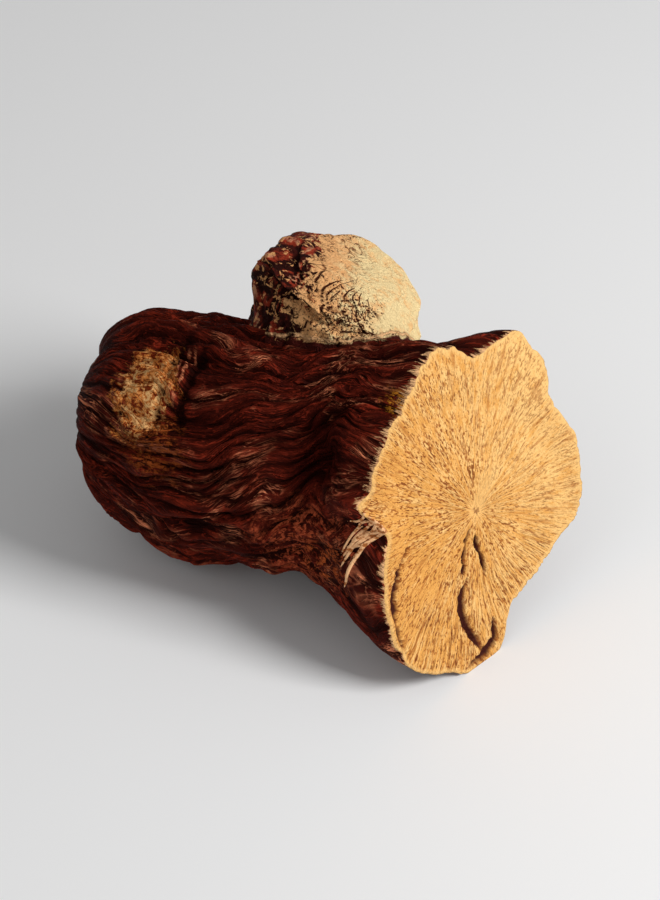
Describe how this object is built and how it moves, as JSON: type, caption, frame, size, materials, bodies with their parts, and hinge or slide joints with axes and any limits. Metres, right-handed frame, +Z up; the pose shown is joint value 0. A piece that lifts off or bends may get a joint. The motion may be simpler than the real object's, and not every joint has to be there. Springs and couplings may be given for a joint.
{
  "type": "dried inula root",
  "caption": "Dried crown piece of inula root: furrowed bark, an oblique sawn face with drying cracks, a stem stump and a trimmed side root",
  "frame": {"origin": "on the surface that the root rests on, under the middle of its box", "axes": "+X along the body towards the sawn face, +Y across it towards the trimmed side root, +Z up"},
  "size_m": [0.0736, 0.0514, 0.0454],
  "materials": {
    "dried_root": "dull dry bark, red-brown and furrowed, with a pale ochre sawn face"
  },
  "bodies": {
    "root": {"root_crown": "dried_root"}
  },
  "joints": []
}
